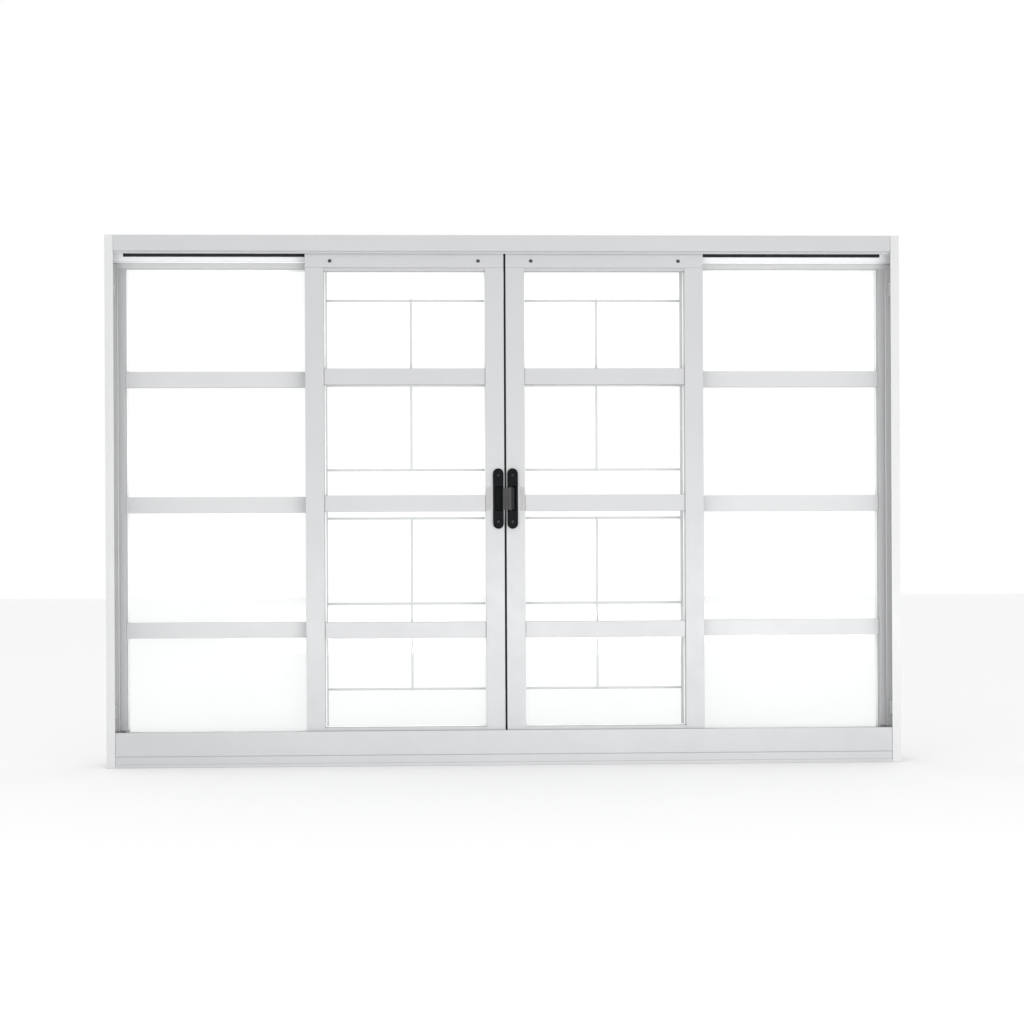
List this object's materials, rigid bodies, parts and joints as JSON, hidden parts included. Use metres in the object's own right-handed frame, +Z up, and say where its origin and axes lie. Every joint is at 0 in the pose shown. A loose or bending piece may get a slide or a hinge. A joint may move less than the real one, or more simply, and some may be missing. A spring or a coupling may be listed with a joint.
{
  "type": "sliding window with security bars",
  "caption": "White sliding window: fixed outer leaves, sliding middle leaves on rollers, flat security bars, a rod grille and a recessed latch.",
  "frame": {"origin": "centre of the sill's underside, midway through the frame's depth", "axes": "+X along the window to the right seen from the room, +Y from the room to outdoors, +Z up"},
  "size_m": [1.5, 0.08, 1],
  "materials": {
    "coated_aluminium": "white powder coat, fine satin texture",
    "coated_steel": "white powder coat on steel rod",
    "glass": "clear float glass",
    "gasket": "light grey glazing gasket",
    "seal": "black brush pile and rubber",
    "screw_steel": "zinc plated",
    "black_nylon": "moulded black nylon",
    "white_plastic": "moulded light plastic",
    "grey_plastic": "grey packer plate",
    "latch_black": "satin black",
    "roller_nylon": "moulded nylon"
  },
  "bodies": {
    "frame": {"head_rail": "coated_aluminium", "sill_rail": "coated_aluminium", "left_jamb": "coated_aluminium", "right_jamb": "coated_aluminium", "frame_screws": "screw_steel", "head_seal": "seal", "sill_drain_caps": "white_plastic", "jamb_bumpers": "white_plastic", "fixed_leaf_packers": "black_nylon", "grille_uprights": "coated_aluminium", "grille_rods": "coated_steel", "grille_stays": "coated_steel", "left_fixed_outer_stile": "coated_aluminium", "left_fixed_inner_stile": "coated_aluminium", "left_fixed_top_rail": "coated_aluminium", "left_fixed_bottom_rail": "coated_aluminium", "left_fixed_glass": "glass", "left_fixed_gasket": "gasket", "left_fixed_bars": "coated_aluminium", "right_fixed_outer_stile": "coated_aluminium", "right_fixed_inner_stile": "coated_aluminium", "right_fixed_top_rail": "coated_aluminium", "right_fixed_bottom_rail": "coated_aluminium", "right_fixed_glass": "glass", "right_fixed_gasket": "gasket", "right_fixed_bars": "coated_aluminium"},
    "left_sash": {"left_sash_outer_stile": "coated_aluminium", "left_sash_meeting_stile": "coated_aluminium", "left_sash_top_rail": "coated_aluminium", "left_sash_bottom_rail": "coated_aluminium", "left_sash_glass": "glass", "left_sash_gasket": "gasket", "left_sash_bars": "coated_aluminium", "left_sash_bar_pads": "grey_plastic", "left_sash_guides": "black_nylon", "left_sash_roller_housings": "black_nylon", "left_sash_screws": "screw_steel", "latch_keeper": "latch_black", "left_latch_packer": "grey_plastic"},
    "right_sash": {"right_sash_outer_stile": "coated_aluminium", "right_sash_meeting_stile": "coated_aluminium", "right_sash_top_rail": "coated_aluminium", "right_sash_bottom_rail": "coated_aluminium", "right_sash_glass": "glass", "right_sash_gasket": "gasket", "right_sash_bars": "coated_aluminium", "right_sash_bar_pads": "grey_plastic", "right_sash_guides": "black_nylon", "right_sash_roller_housings": "black_nylon", "right_sash_screws": "screw_steel", "latch_body": "latch_black", "latch_pin": "screw_steel", "latch_spring": "screw_steel", "meeting_seal": "seal", "right_latch_packer": "grey_plastic"},
    "latch_lever": {"latch_lever": "latch_black"},
    "left_outer_roller": {"left_outer_roller": "roller_nylon"},
    "left_inner_roller": {"left_inner_roller": "roller_nylon"},
    "right_inner_roller": {"right_inner_roller": "roller_nylon"},
    "right_outer_roller": {"right_outer_roller": "roller_nylon"}
  },
  "joints": [
    {"name": "left_sash_slide", "type": "slide", "parent": "frame", "child": "left_sash", "axis": [-1, 0, 0], "range_m": [0, 0.36]},
    {"name": "right_sash_slide", "type": "slide", "parent": "frame", "child": "right_sash", "axis": [1, 0, 0], "range_m": [0, 0.36]},
    {"name": "latch_lever_turn", "type": "hinge", "parent": "right_sash", "child": "latch_lever", "pos_m": [0.0105, -0.0335, 0.503], "axis": [0, 0, 1], "range_deg": [0, 20], "stiffness_Nm_per_rad": 0.05, "springref_deg": -11.46},
    {"name": "left_outer_roller_spin", "type": "hinge", "parent": "left_sash", "child": "left_outer_roller", "pos_m": [-0.3, -0.02, 0.0433], "axis": [0, 1, 0], "continuous": true},
    {"name": "left_inner_roller_spin", "type": "hinge", "parent": "left_sash", "child": "left_inner_roller", "pos_m": [-0.08, -0.02, 0.0433], "axis": [0, 1, 0], "continuous": true},
    {"name": "right_inner_roller_spin", "type": "hinge", "parent": "right_sash", "child": "right_inner_roller", "pos_m": [0.08, -0.02, 0.0433], "axis": [0, 1, 0], "continuous": true},
    {"name": "right_outer_roller_spin", "type": "hinge", "parent": "right_sash", "child": "right_outer_roller", "pos_m": [0.3, -0.02, 0.0433], "axis": [0, 1, 0], "continuous": true}
  ],
  "couplings": [
    {"joint": "left_outer_roller_spin", "follows": "left_sash_slide", "rad_per_m": -111.11},
    {"joint": "left_inner_roller_spin", "follows": "left_sash_slide", "rad_per_m": -111.11},
    {"joint": "right_inner_roller_spin", "follows": "right_sash_slide", "rad_per_m": 111.11},
    {"joint": "right_outer_roller_spin", "follows": "right_sash_slide", "rad_per_m": 111.11}
  ]
}
